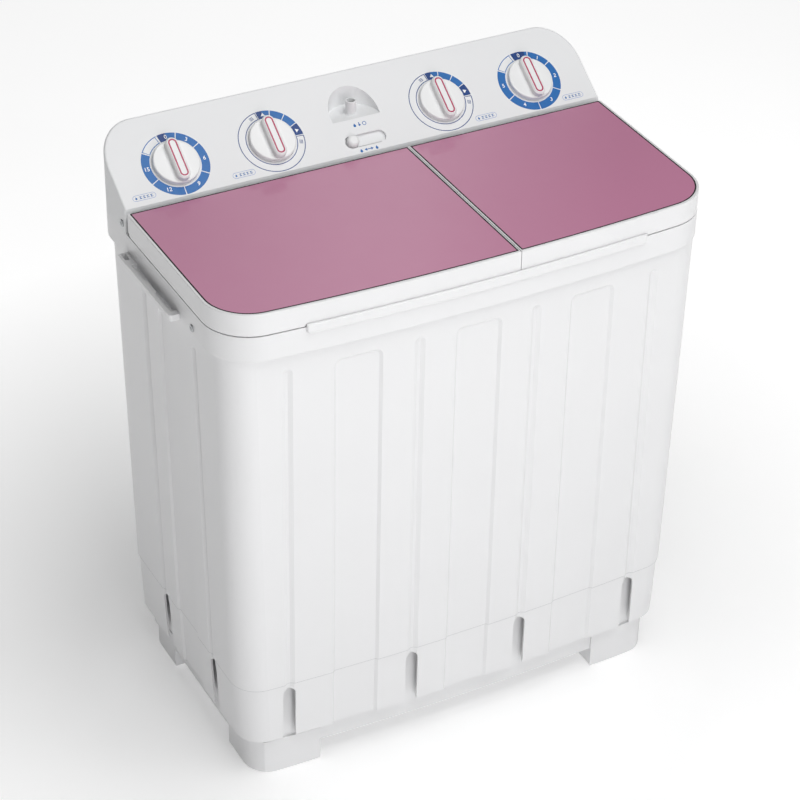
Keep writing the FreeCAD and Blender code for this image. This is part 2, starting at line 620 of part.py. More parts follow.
def make_inner_cover():
    """Round safety cover over the spin mouth, hinged at its back, with vent holes and a finger tab."""
    disc = rod(SPIN_MOUTH + 7, 2.5, (SPIN[0], SPIN[1], RIM_TOP))
    dome = revolve([(0, 2.5), (96, 2.5), (104, 0), (108, 0), (99, 5.0), (0, 5.0)], SPIN, RIM_TOP)
    hub, sy = SPIN
    tab = box(hub - 22, hub + 22, sy - 122, sy - 92, RIM_TOP + 2, RIM_TOP + 13)
    tab = tab.makeFillet(5, [e for e in tab.Edges if is_upright(e)])
    tab = tab.cut(box(hub - 19, hub + 19, sy - 119, sy - 95, RIM_TOP + 4, RIM_TOP + 14))
    holes = [rod(4, 12, (x, y, RIM_TOP - 2)) for radius, count in ((28, 8), (50, 14), (72, 20))
             for x, y in ring_of(count, radius, SPIN)]
    cover = fuse([disc, dome, tab]).cut(Part.makeCompound(holes))
    neck = box(hub - 28.2, hub + 28.2, 78, COVER_Y + 1.5, RIM_TOP, RIM_TOP + 2.5)
    barrel = rod(3.6, 56.4, (hub - 28.2, COVER_Y, COVER_Z), X_AXIS)
    riser = box(hub - 28.2, hub + 28.2, COVER_Y - 3, COVER_Y + 1.5, RIM_TOP, COVER_Z)
    cover = fuse([cover, neck, barrel, riser])
    cover = cover.cut(rod(COVER_PIN_R + PIN_FIT, 60, (hub - 30, COVER_Y, COVER_Z), X_AXIS))
    save("spin_inner_cover", cover)
    save("inner_cover_pin", rod(COVER_PIN_R, 72, (hub - 36, COVER_Y, COVER_Z), X_AXIS))


# ---------------------------------------------------------------- console
def console_block(inset, z0):
    """Everything under the sloping face, moved in by the wall where inset is given."""
    behind = box(-500, 500, CONSOLE_FRONT + inset, 500, z0, CONSOLE_TOP)
    block = prism(z0, CONSOLE_TOP, inset).common(behind)
    slope = box(-500, 500, -400, 700, -inset, 400)
    return block.cut(on_face(slope, 0, 0))


def inlet_pocket(grow, floor_drop):
    """Half-moon hollow around the water inlet; its floor is level and its back wall is upright."""
    y_edge = FACE_Y + INLET_S * math.cos(FACE_ANGLE)
    z_floor = inlet_floor() - floor_drop
    half = INLET_HALF + grow
    straight = box(-half, half, y_edge - 60, y_edge + INLET_STRAIGHT, z_floor, z_floor + 90)
    return fuse([straight, rod(half, 90, (0, y_edge + INLET_STRAIGHT, z_floor))])


def inlet_floor():
    return LID_TOP + INLET_S * math.sin(FACE_ANGLE)


def make_console():
    outer = console_block(0.0, RIM_TOP)
    crest = edges_near(outer, lambda b: b.ZMax > LID_TOP + 5 and b.ZMax - b.ZMin < 140
                       and not (b.YLength < 0.1 and b.XLength < 0.1))
    outer = outer.makeFillet(3.0, crest)
    shell = outer.cut(console_block(WALL, RIM_TOP - 1))
    cup = inlet_pocket(2.5, 2.5).common(outer)
    shell = shell.fuse(cup).cut(inlet_pocket(0.0, 0.0))
    shell = shell.cut(rod(STUB_NECK, 30, (0, STUB_Y, inlet_floor() - 10)))
    tray = on_face(stadium(SLOT_HALF + 2.5, SLOT_R + 2.5, -SLOT_DEPTH - 2, -1), 0, SLOT_S)
    shell = shell.fuse(tray)
    shell = shell.cut(on_face(stadium(SLOT_HALF, SLOT_R, -SLOT_DEPTH, 5), 0, SLOT_S))
    shell = shell.cut(on_face(box(-SLIT_HALF, SLIT_HALF, SLIT_LOW, SLIT_HIGH, -12, 0), 0, SLOT_S))
    for x in DIAL_X:
        shell = shell.cut(on_face(rod(5, 20, (0, 0, -10)), x, DIAL_S))
    save("console", shell.cut(side_holes(*CHEEK_SCREW)).removeSplitter())


def make_inlet_pipe():
    floor = inlet_floor()
    foot = (0, STUB_Y, floor)
    end = (0, STUB_Y, floor - STUB_DROP)
    pipe = fuse([rod(STUB_R, STUB_H, foot), rod(STUB_RING, STUB_RING_H, foot),
                 rod(STUB_NECK, STUB_DROP, end)])
    pipe = pipe.makeFillet(0.8, edges_near(pipe, lambda b: b.ZMin > floor + STUB_H - 0.1))
    save("inlet_pipe", pipe.cut(rod(STUB_BORE, STUB_DROP + STUB_H, end)))


def make_knobs():
    for name, x in zip(DIAL_NAMES, DIAL_X):
        disc = Part.makeCylinder(KNOB_R, KNOB_DISC - KNOB_LIFT, V(0, 0, KNOB_LIFT), Z_AXIS)
        disc = disc.makeFillet(2.2, edges_near(disc, lambda b: b.ZMin > KNOB_DISC - 0.1))
        grip = stadium(33.5, 9.5, KNOB_DISC - 1, BAR_TOP)
        taper = edges_near(grip, lambda b: b.ZMin > BAR_TOP - 0.1)
        grip = grip.makeChamfer(2.2, taper)
        grip.rotate(V(0, 0, 0), Z_AXIS, 90)
        knob = fuse([disc, grip, rod(SHAFT_R, 32, (0, 0, KNOB_LIFT - 31))])
        channel = stadium(30.0, 6.3, BAR_TOP - 1.0, BAR_TOP + 1)
        channel = channel.cut(stadium(27.9, 4.2, BAR_TOP - 2, BAR_TOP + 2))
        channel.rotate(V(0, 0, 0), Z_AXIS, 90)
        knob = knob.cut(channel)
        save(name + "_knob", on_face(knob, x, DIAL_S))
        ring = channel.common(box(-60, 60, -60, 60, BAR_TOP - 1.0, BAR_TOP + 0.3))
        save(name + "_pointer", on_face(ring, x, DIAL_S))
        housing = box(-27, 27, -25, 25, -36, -7)
        housing = housing.makeFillet(4, [e for e in housing.Edges if is_upright(e)])
        collar = rod(9, 4.0, (0, 0, -7))
        case = fuse([housing, collar]).cut(rod(SHAFT_R + PIN_FIT, 27.5, (0, 0, -30.5)))
        label = "switch" if name.endswith("selector") else "mechanism"
        save("%s_%s" % (name, label), on_face(case, x, DIAL_S))


def make_slider():
    """Water selector: a rounded finger piece in an oval tray, with a stem to the diverter below."""
    radius = SLOT_R - 0.6
    seat = 0.6 - SLOT_DEPTH
    cap = Part.makeCylinder(radius, SLIDER_TOP - seat, V(0, 0, seat), Z_AXIS)
    cap = cap.makeFillet(5, edges_near(cap, lambda b: b.ZMin > SLIDER_TOP - 0.1))
    stem = box(-2.5, 2.5, SLIT_LOW + 0.7, SLIT_HIGH - 0.5, -SHOE_LOW, seat + 0.5)
    shoe = box(-8, 8, SLIT_LOW - 1.4, SLIT_HIGH + 9, -SHOE_LOW, -SLOT_DEPTH - 2.4)
    save("water_selector", on_face(fuse([cap, stem, shoe]), SLIDE_X, SLOT_S))


# ---------------------------------------------------------------- wash side
def make_wash_tub():
    x0, x1, y0, y1 = WASH
    outer = rounded_rect(x0, x1, y0, y1, WASH_R, WASH_BOTTOM, TUB_TOP)
    outer = outer.makeFillet(30, edges_near(outer, lambda b: b.ZMax < WASH_BOTTOM + 0.1))
    floor = WASH_BOTTOM + WALL
    inner = rounded_rect(x0 + WALL, x1 - WALL, y0 + WALL, y1 - WALL, WASH_R - WALL, floor, TUB_TOP + 1)
    inner = inner.makeFillet(27, edges_near(inner, lambda b: b.ZMax < floor + 0.1))
    flange = rounded_rect(x0 - 5, x1 + 5, y0 - 5, y1 + 5, WASH_R + 5, TUB_TOP - 3, TUB_TOP)
    ribs = []
    for x in range(-255, -20, 47):
        for y in (y0 + WALL, y1 - WALL):
            ribs.append(rod(4, 230, (x, y, 420)))
    tub = fuse([outer, flange]).cut(inner)
    tub = tub.fuse(Part.makeCompound(ribs).common(outer)).removeSplitter()
    tub = tub.cut(rod(20, 30, (PULSATOR[0], PULSATOR[1], WASH_BOTTOM - 10)))
    tub = tub.cut(rod(13, 20, (WASH_DRAIN[0], y1 - 10, WASH_DRAIN[1]), Y_AXIS))
    save("wash_tub", tub)


def make_pulsator():
    r = PULSATOR_R
    profile = [(7, 341), (26, 341), (112, 337), (r, 337), (r, 341), (110, 344), (60, 348), (42, 358),
               (30, 366), (7, 368)]
    disc = revolve(profile, PULSATOR)
    vanes = []
    for i in range(4):
        vane = box(30, PULSATOR_R - 8, -5, 5, 342, 362)
        vane = vane.makeFillet(4.5, edges_near(vane, lambda b: b.ZMin > 361.9 and b.YLength < 0.1))
        ramp = box(0, 200, -20, 20, 0, 60)
        ramp.rotate(V(0, 0, 0), Y_AXIS, 9)
        ramp.translate(V(30, 0, 366))
        vane = vane.cut(ramp)
        vane.rotate(V(0, 0, 0), Z_AXIS, 45 + 90 * i)
        vane.translate(V(PULSATOR[0], PULSATOR[1], 0))
        vanes.append(vane)
    holes = [rod(4, 30, (x, y, 330)) for x, y in ring_of(12, 95, PULSATOR, 0.15)]
    body = fuse([disc] + vanes).cut(Part.makeCompound(holes))
    save("pulsator", body)
    save("pulsator_screw", pan_screw(8, 4, 12, V(PULSATOR[0], PULSATOR[1], 368), Z_AXIS))


def make_wash_drive():
    px, py = PULSATOR
    shaft = rod(7, 144, (px, py, 224)).cut(rod(4.2, 14, (px, py, 355)))
    save("pulsator_shaft", shaft)
    housing = revolve([(11, 245), (30, 245), (32, 290), (60, 312), (75, 321), (75, 327), (19.7, 327),
                       (19.7, 331), (11, 331)], PULSATOR)
    save("shaft_housing", housing)
    bearings = [tube(11, 7.05, 10, (px, py, z)) for z in (247, 316)]
    save("shaft_bearings", Part.makeCompound(bearings))
    top, low = BELT_Z + BELT_H / 2, BELT_Z - BELT_H / 2
    wheel = revolve([(7, low - 5), (22, low - 5), (22, low), (70, low), (70, low - 4), (95, low - 4),
                     (95, low), (90, low + 2), (90, top - 2), (95, top), (95, top + 4), (70, top + 4),
                     (70, low + 4), (22, low + 4), (22, top + 10), (7, top + 10)], PULSATOR)
    windows = [rod(13, 40, (x, y, low - 10)) for x, y in ring_of(6, 46, PULSATOR)]
    save("wash_pulley", wheel.cut(Part.makeCompound(windows)))
    mx, my = MOTOR
    small = revolve([(0, low - 4), (25, low - 4), (25, low), (20, low + 2), (20, top - 2), (25, top),
                     (25, top + 4), (10, top + 4), (10, top + 12), (5, top + 12), (5, 266), (28, 266),
                     (28, 298), (5, 298), (5, 316), (0, 316)], MOTOR)
    save("motor_pulley", small)
    save("drive_belt", make_belt(90.4, 20.4, 5.0, BELT_Z - 3, BELT_Z + 3))
    body = revolve([(5.05, 240), (20, 240), (20, 244), (50, 248), (58, 256), (58, 308), (50, 318),
                    (20, 322), (5.05, 322), (5.05, 312), (46, 310), (50, 306), (50, 260), (44, 254),
                    (5.05, 252)], MOTOR)
    save("wash_motor", body)
    plate = box(mx - 62, mx + 62, my - 70, my + 62, 322, 327)
    plate = plate.makeFillet(18, [e for e in plate.Edges if is_upright(e)])
    save("motor_bracket", plate.cut(rod(75.3, 10, (px, py, 320))))


def make_belt(r_big, r_small, thick, z0, z1):
    """Belt loop round the two pulleys of the wash drive."""
    a = V(PULSATOR[0], PULSATOR[1], 0)
    b = V(MOTOR[0], MOTOR[1], 0)
    span = b - a

    def loop(extra):
        big, small = r_big + extra, r_small + extra
        lean = math.acos((big - small) / span.Length)
        along = math.atan2(span.y, span.x)
        points = []
        for centre, radius in ((a, big), (b, small)):
            for sign in (1, -1):
                angle = along + sign * lean
                points.append(centre + V(math.cos(angle), math.sin(angle), 0) * radius)
        core = Part.Face(Part.makePolygon([points[0], points[1], points[3], points[2], points[0]]))
        slab = core.extrude(V(0, 0, z1 - z0))
        return fuse([slab, rod(big, z1 - z0, (a.x, a.y, 0)), rod(small, z1 - z0, (b.x, b.y, 0))])

    belt = loop(thick).cut(loop(0.0))
    belt.translate(V(0, 0, z0))
    return belt


def make_tub_fittings():
    """Lint filter on the wash tub's back wall and the overflow channel cover on its right wall."""
    y = WASH[3] - WALL
    frame = box(-190, -110, y - 14, y - 4.5, 560, 690)
    frame = frame.makeFillet(8, [e for e in frame.Edges if is_level(e)])
    frame = frame.cut(box(-180, -120, y - 20, y, 572, 678))
    clip = box(-158, -142, y - 6, y, 668, 688)
    save("lint_filter_frame", fuse([frame, clip]))
    net = box(-179.8, -120.2, y - 12, y - 8, 572.2, 677.8)
    cells = [box(x, x + 4, y - 13, y - 7, z, z + 4)
             for x in range(-176, -124, 7) for z in range(576, 674, 7)]
    save("lint_filter_net", net.cut(Part.makeCompound(cells)))
    x = WASH[1] - WALL
    cover = box(x - 16, x, -84, -16, 366, 640)
    cover = cover.makeFillet(7, edges_near(cover, lambda b: b.XMax < x - 15.9))
    cover = cover.cut(box(x - 13, x + 1, -81, -19, 360, 637))
    slots = [box(x - 20, x - 10, -74, -26, z, z + 4) for z in range(390, 620, 14)]
    save("overflow_cover", cover.cut(Part.makeCompound(slots)))


# ---------------------------------------------------------------- spin side
def make_spin_tub():
    sx, sy = SPIN
    outer = rod(SPIN_R, TUB_TOP - SPIN_BOTTOM, (sx, sy, SPIN_BOTTOM))
    outer = outer.makeFillet(20, edges_near(outer, lambda b: b.ZMax < SPIN_BOTTOM + 0.1))
    inner = rod(SPIN_R - WALL, TUB_TOP, (sx, sy, SPIN_BOTTOM + WALL))
    inner = inner.makeFillet(17, edges_near(inner, lambda b: b.ZMax < SPIN_BOTTOM + WALL + 0.1))
    flange = rod(SPIN_R + 5, 3, (sx, sy, TUB_TOP - 3))
    tub = fuse([outer, flange]).cut(inner)
    tub = tub.cut(rod(34, 20, (sx, sy, SPIN_BOTTOM - 5)))
    tub = tub.cut(rod(10, 20, (SPIN_DRAIN[0], SPIN_DRAIN[1], SPIN_BOTTOM - 5)))
    save("spin_tub", tub)
    bellows = revolve([(9.5, 334), (14, 334), (14, 344), (28, 346), (24, 350), (32, 354), (28, 358),
                       (38, 362), (34, 362), (34, 368), (38, 368), (38, 371), (31, 371), (31, 361),
                       (22, 358), (26, 354), (18, 350), (9.5, 346)], SPIN)
    save("shaft_seal", bellows)


SPIN_DRAIN = (135.0, 52.0)
WASH_DRAIN = (-30.0, 352.0)


def make_basket():
    low, high = BASKET_Z
    r = BASKET_R
    profile = [(0, low - 4), (24, low - 4), (24, low), (r - 14, low), (r, low + 14), (r, high),
               (r - 16, high), (r - 16, high - 3), (r - 4, high - 9), (r - 4, high - 22), (r - 2, high - 24),
               (r - 2, low + 15), (r - 15, low + 2), (30, low + 2), (22, low + 26), (0, low + 30)]
    basket = revolve(profile, SPIN)
    holes = []
    for row in range(7):
        for x, y in ring_of(18, r - 10, SPIN, 0.17 * row):
            axis = V(x - SPIN[0], y - SPIN[1], 0)
            holes.append(rod(3.2, 20, (x, y, low + 40 + row * 38), axis))
    for x, y in ring_of(10, 80, SPIN):
        holes.append(rod(3.5, 12, (x, y, low - 5)))
    save("spin_basket", basket.cut(Part.makeCompound(holes)))


def make_spin_drive():
    sx, sy = SPIN
    save("spin_shaft", rod(9, 100, (sx, sy, 294)))
    drum = revolve([(0, 262), (16, 262), (16, 276), (58, 276), (58, 294), (54, 294), (54, 280), (16, 280),
                    (16, 294), (0, 294)], SPIN)
    save("brake_drum", drum)
    rotor = revolve([(0, 128), (5, 128), (5, 140), (30, 140), (30, 190), (5, 190), (5, 262), (0, 262)],
                    SPIN)
    save("spin_motor_shaft", rotor)
    motor = revolve([(5.05, 124), (20, 124), (20, 130), (60, 130), (60, 204), (52, 216), (5.05, 220),
                     (5.05, 240), (18, 240), (18, 228), (56, 222), (66, 206), (66, 116), (24, 116),
                     (5.05, 118)], SPIN)
    plate = rod(92, 6, (sx, sy, SPIN_PLATE_Z))
    pivot = rod(3, 176, (sx, sy + BRAKE_PIVOT, 114))
    save("spin_motor", fuse([motor, plate, pivot]))
    springs = []
    for x, y in spring_seats():
        springs.append(coil_spring(x, y, FLOOR_Z + FLOOR_T, SPIN_PLATE_Z))
    save("spin_motor_springs", Part.makeCompound(springs))
    brake_y = sy + BRAKE_PIVOT
    arm = box(sx - 64, sx + 14, brake_y - 6, brake_y + 6, 283, 289)
    arm = fuse([arm, rod(9, 8, (sx, brake_y, 282)), box(sx - 76, sx - 62, sy - 6, brake_y + 6, 283, 289)])
    shoe = box(sx - 76, sx - 59.2, sy - 18, sy + 18, 278, 292)
    shoe = shoe.cut(rod(59.2, 30, (sx, sy, 270)))
    arm = fuse([arm, shoe]).cut(rod(3.05, 20, (sx, brake_y, 275)))
    save("brake_arm", arm)


BRAKE_PIVOT = 76.0
SPIN_PLATE_Z = 110.0      # underside of the spin motor's plate


def coil_spring(x, y, z0, z1):
    """Compression spring with its axis upright; the wire is cut flat at both ends."""
    wire_r, coil_r, turns = 1.6, 11.5, 5
    pitch = (z1 - z0 - 2 * wire_r) / turns
    helix = Part.Wire(Part.makeHelix(pitch, pitch * turns, coil_r).Edges)
    profile = Part.Wire(Part.makeCircle(wire_r, V(coil_r, 0, 0), Y_AXIS))
    spring = helix.makePipeShell([profile], True, True)
    spring.translate(V(x, y, z0 + wire_r))
    return spring


# ---------------------------------------------------------------- drain
def make_drain():
    dx, dy = DRAIN
    chamber = fuse([rod(30, 70, (dx, dy, 312)), rod(19, 60, (dx, dy, 260))])
    wash_x, wash_z = WASH_DRAIN
    sx, sy = SPIN_DRAIN
    spin_z = 335.0
    outlet = (wash_x, WASH[3], wash_z)
    elbow = (wash_x, dy, wash_z)
    from_wash = fuse([rod(16, dy - WASH[3], outlet, Y_AXIS), rod(16, dx - wash_x, elbow, X_AXIS)])
    run = V(sx - dx, sy - dy, 0)
    from_spin = fuse([rod(12, run.Length, (dx, dy, spin_z), run), rod(12, 27, (sx, sy, spin_z))])
    body = fuse([chamber, from_wash, from_spin])
    hollow = fuse([rod(27, 64, (dx, dy, 315)), rod(15, 80, (dx, dy, 255))])
    corner = rod(13, 12, elbow, Y_AXIS)
    wash_bore = fuse([rod(13, dy - WASH[3], outlet, Y_AXIS), rod(13, dx - wash_x, elbow, X_AXIS), corner])
    spin_bore = fuse([rod(9, run.Length, (dx, dy, spin_z), run), rod(9, 30, (sx, sy, spin_z))])
    lid_bore = rod(4, 20, (dx, dy, 370))
    body = body.cut(fuse([hollow, wash_bore, spin_bore])).cut(lid_bore)
    save("drain_valve_body", body)
    plug = revolve([(0, 315.4), (20, 315.4), (23, 322), (14, 330), (6, 333), (3, 336), (3, 799), (0, 799)],
                   DRAIN)
    save("drain_valve_plug", plug)
    turn = (dx, dy, SPIGOT_Z)
    pipe = fuse([rod(SPIGOT_R + 8, 150, (dx, dy, SPIGOT_Z - 8)), rod(SPIGOT_R + 2, 50, turn, Y_AXIS),
                 rod(SPIGOT_R, SPIGOT_END - dy, turn, Y_AXIS)])
    bore_r = SPIGOT_R - WALL
    bore = fuse([rod(19, 10, (dx, dy, 260)), rod(bore_r, 150, turn), rod(bore_r, 120, turn, Y_AXIS)])
    save("drain_pipe", pipe.cut(bore))


# ---------------------------------------------------------------- electrics
def make_electrics():
    capacitor = rod(24, 76, (-300, 140, 232))
    capacitor = capacitor.makeFillet(3, capacitor.Edges[:1])
    terminals = [box(x - 3, x + 3, 139.4, 140.6, 308, 318) for x in (-308, -292)]
    save("capacitor", fuse([capacitor] + terminals))
    switch = box(330, 362, 132, 162, 800, 822)
    lever = box(340, 352, 126, 134, 806, 810)
    save("lid_switch", fuse([switch, lever]))


make_cabinet()
make_base_skirt()
make_chassis()
make_rim()
make_handle("left_handle", -1)
make_handle("right_handle", 1)
make_rear_cover()
make_side_screws()
make_lid("wash_lid", True, LUG_X[:2])
make_lid("spin_lid", False, LUG_X[2:])
make_hinge_pins()
make_inner_cover()
make_console()
make_inlet_pipe()
make_knobs()
make_slider()
make_wash_tub()
make_pulsator()
make_wash_drive()
make_tub_fittings()
make_spin_tub()
make_basket()
make_spin_drive()
make_drain()
make_electrics()
print(len(built), "nodes")
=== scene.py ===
import json
import math

import bmesh
import bpy
from mathutils import Matrix, Quaternion, Vector


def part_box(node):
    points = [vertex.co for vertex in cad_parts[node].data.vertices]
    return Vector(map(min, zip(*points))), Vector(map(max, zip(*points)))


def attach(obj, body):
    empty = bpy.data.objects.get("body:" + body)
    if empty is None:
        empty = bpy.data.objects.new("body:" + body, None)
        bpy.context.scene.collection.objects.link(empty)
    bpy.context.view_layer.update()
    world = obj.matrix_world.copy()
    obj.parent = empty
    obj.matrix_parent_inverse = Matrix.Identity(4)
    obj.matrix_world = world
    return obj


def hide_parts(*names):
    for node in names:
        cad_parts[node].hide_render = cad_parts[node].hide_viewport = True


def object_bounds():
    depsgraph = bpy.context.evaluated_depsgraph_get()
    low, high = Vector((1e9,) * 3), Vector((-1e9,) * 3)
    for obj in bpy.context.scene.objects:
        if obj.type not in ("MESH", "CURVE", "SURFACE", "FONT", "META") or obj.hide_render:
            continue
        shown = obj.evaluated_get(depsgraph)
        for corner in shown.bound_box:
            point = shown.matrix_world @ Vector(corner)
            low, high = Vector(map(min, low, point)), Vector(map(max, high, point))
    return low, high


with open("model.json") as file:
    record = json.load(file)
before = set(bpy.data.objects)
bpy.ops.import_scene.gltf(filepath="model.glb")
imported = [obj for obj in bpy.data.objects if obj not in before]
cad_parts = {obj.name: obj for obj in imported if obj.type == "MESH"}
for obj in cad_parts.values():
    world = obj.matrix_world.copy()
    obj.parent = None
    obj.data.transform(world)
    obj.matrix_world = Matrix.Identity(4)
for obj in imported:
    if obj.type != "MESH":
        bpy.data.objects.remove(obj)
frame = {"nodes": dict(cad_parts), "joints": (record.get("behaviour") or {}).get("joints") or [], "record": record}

MM = 0.001
CAD_LO, CAD_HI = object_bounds()
JOINTS = {j["name"]: j for j in frame["joints"]}


# ---------------------------------------------------------------- shader nodes
def rgb(r, g, b):
    """Linear colour from an sRGB one given in 0 to 255."""
    def linear(c):
        c /= 255
        return c / 12.92 if c <= 0.04045 else ((c + 0.055) / 1.055) ** 2.4
    return (linear(r), linear(g), linear(b), 1.0)


def shade(colour, factor):
    """The colour made darker or lighter by that factor."""
    return tuple(min(1.0, c * factor) for c in colour[:3]) + (1.0,)


class Paint:
    """One procedural material: a Principled shader and the few node chains used here."""

    def __init__(self, name, **sockets):
        self.mat = bpy.data.materials.new(name)
        self.mat.use_nodes = True
        self.tree = self.mat.node_tree
        self.bsdf = self.tree.nodes["Principled BSDF"]
        self.coords = self.tree.nodes.new("ShaderNodeTexCoord").outputs["Object"]
        self.normal = None
        for key, value in sockets.items():
            self.bsdf.inputs[key.replace("_", " ")].default_value = value

    def node(self, kind, inputs=None, **settings):
        """A new shader node; an input takes a value or another node's socket."""
        n = self.tree.nodes.new("ShaderNode" + kind)
        for key, value in settings.items():
            setattr(n, key, value)
        for key, value in (inputs or {}).items():
            if isinstance(value, bpy.types.NodeSocket):
                self.tree.links.new(value, n.inputs[key])
            else:
                n.inputs[key].default_value = value
        return n

    def link(self, output, socket):
        self.tree.links.new(output, self.bsdf.inputs[socket])

    def squeezed(self, x, y, z):
        """The object's coordinates scaled along each axis, to stretch a pattern."""
        return self.node("Mapping", {"Vector": self.coords, "Scale": (x, y, z)}).outputs["Vector"]

    def noise(self, scale, detail=2.0, rough=0.5, vector=None):
        """Noise of so many cells a metre."""
        return self.node("TexNoise", {"Vector": vector or self.coords, "Scale": scale, "Detail": detail,
                                      "Roughness": rough}).outputs["Fac"]

    def remap(self, fac, low, high, a, b):
        """The value carried from the range low to high into the range a to b."""
        return self.node("MapRange", {"Value": fac, "From Min": low, "From Max": high,
                                      "To Min": a, "To Max": b}).outputs["Result"]

    def ramp(self, fac, *stops):
        """A colour picked along the stops, each a (place, colour)."""
        n = self.node("ValToRGB", {"Fac": fac})
        elements = n.color_ramp.elements
        for element, (place, colour) in zip(elements, (stops[0], stops[-1])):
            element.position = place
            element.color = colour
        for place, colour in stops[1:-1]:
            elements.new(place).color = colour
        return n.outputs["Color"]

    def blend(self, fac, a, b):
        return self.node("MixRGB", {"Fac": fac, "Color1": a, "Color2": b}).outputs["Color"]

    def bump(self, height, distance, strength=1.0):
        """Add one layer of surface relief on top of those already there."""
        inputs = {"Height": height, "Distance": distance, "Strength": strength}
        if self.normal is not None:
            inputs["Normal"] = self.normal
        self.normal = self.node("Bump", inputs).outputs["Normal"]
        self.link(self.normal, "Normal")


DRIFT = 0.015         # how much paler and darker plastic gets over a whole panel
SINK_DEPTH = 0.0024   # metres, spread over waves a hand wide


def moulded(name, colour, rough, grain=1400.0, depth=0.000006, coat=0.0, dust=0.004):
    """Injection-moulded plastic: fine grain, slow sink-mark waves, faint colour drift and a little dust."""
    p = Paint(name, Coat_Weight=coat, Coat_Roughness=0.08, IOR=1.49)
    drift = p.remap(p.noise(7.0, 3.0), 0.3, 0.7, 0.0, 1.0)
    tone = p.blend(drift, colour, shade(colour, 1 - DRIFT))
    specks = p.remap(p.noise(700.0, 3.0, 0.6), 0.62, 0.78, 0.0, dust)
    p.link(p.blend(specks, tone, shade(colour, 0.72)), "Base Color")
    p.link(p.remap(p.noise(9.0, 1.0), 0.3, 0.7, rough - 0.012, rough + 0.012), "Roughness")
    p.bump(p.noise(3.2, 1.0), SINK_DEPTH, 0.25)
    p.bump(p.noise(grain, 2.0, 0.6), depth)
    return p.mat


def ink(name, colour, rough=0.38):
    """Screen-printed ink: slightly uneven cover and a dull sheen; also the grey of the painted shadow line under
    the cabinet.
    """
    p = Paint(name, IOR=1.45)
    cover = p.remap(p.noise(900.0, 3.0, 0.6), 0.35, 0.7, 0.0, 1.0)
    p.link(p.blend(cover, colour, shade(colour, 0.88)), "Base Color")
    p.link(p.remap(p.noise(300.0, 2.0), 0.3, 0.7, rough - 0.06, rough + 0.08), "Roughness")
    p.bump(p.noise(2400.0, 2.0), 0.00001)
    return p.mat


def metal(name, colour, rough, stretch=(1, 1, 1), lines=700.0, depth=0.00002, tarnish=0.12):
    """Drawn, turned or plated metal: stretched scratches, cloudy tarnish."""
    p = Paint(name, Metallic=1.0)
    scratches = p.noise(lines, 3.0, 0.6, p.squeezed(*stretch))
    clouds = p.remap(p.noise(38.0, 5.0, 0.65), 0.35, 0.7, 0.0, 1.0)
    base = p.blend(clouds, colour, shade(colour, 1 - tarnish))
    p.link(p.blend(p.remap(scratches, 0.4, 0.7, 0.0, 0.25), base, shade(colour, 1.15)), "Base Color")
    p.link(p.remap(scratches, 0.3, 0.7, rough - 0.08, rough + 0.12), "Roughness")
    p.bump(scratches, depth)
    return p.mat


def cast_metal(name, colour):
    """Sand-cast metal: dark pits and paler high spots."""
    p = Paint(name, Metallic=0.85)
    pits = p.noise(420.0, 5.0, 0.7)
    p.link(p.ramp(pits, (0.3, shade(colour, 0.6)), (0.55, colour), (0.8, shade(colour, 1.2))), "Base Color")
    p.link(p.remap(pits, 0.3, 0.7, 0.62, 0.42), "Roughness")
    p.bump(pits, 0.00025, 0.8)
    return p.mat


def rubber_paint(name, colour):
    """Dull rubber, paler where it's worn."""
    p = Paint(name, IOR=1.5)
    wear = p.noise(90.0, 5.0, 0.7)
    p.link(p.ramp(wear, (0.35, colour), (0.75, shade(colour, 2.1))), "Base Color")
    p.link(p.remap(wear, 0.3, 0.7, 0.62, 0.78), "Roughness")
    p.bump(p.noise(1800.0, 3.0), 0.00004)
    return p.mat


def coloured_panel(name, colour):
    """Printed and lacquered lid panel: satin colour with a soft pearl drift under a clear coat."""
    p = Paint(name, IOR=1.5, Coat_Weight=0.9, Coat_Roughness=0.035, Specular_IOR_Level=0.3)
    slow = p.remap(p.noise(2.2, 2.0, 0.5), 0.35, 0.65, 0.0, 1.0)
    tone = p.blend(slow, colour, shade(colour, 0.96))
    pearl = p.remap(p.noise(1500.0, 2.0, 0.6), 0.45, 0.75, 0.0, 0.14)
    p.link(p.blend(pearl, tone, shade(colour, 1.12)), "Base Color")
    p.link(p.remap(p.noise(30.0, 3.0), 0.3, 0.7, 0.34, 0.42), "Roughness")
    p.bump(p.noise(6.0, 1.0), 0.0006, 0.12)
    return p.mat


WHITE = rgb(229, 229, 230)
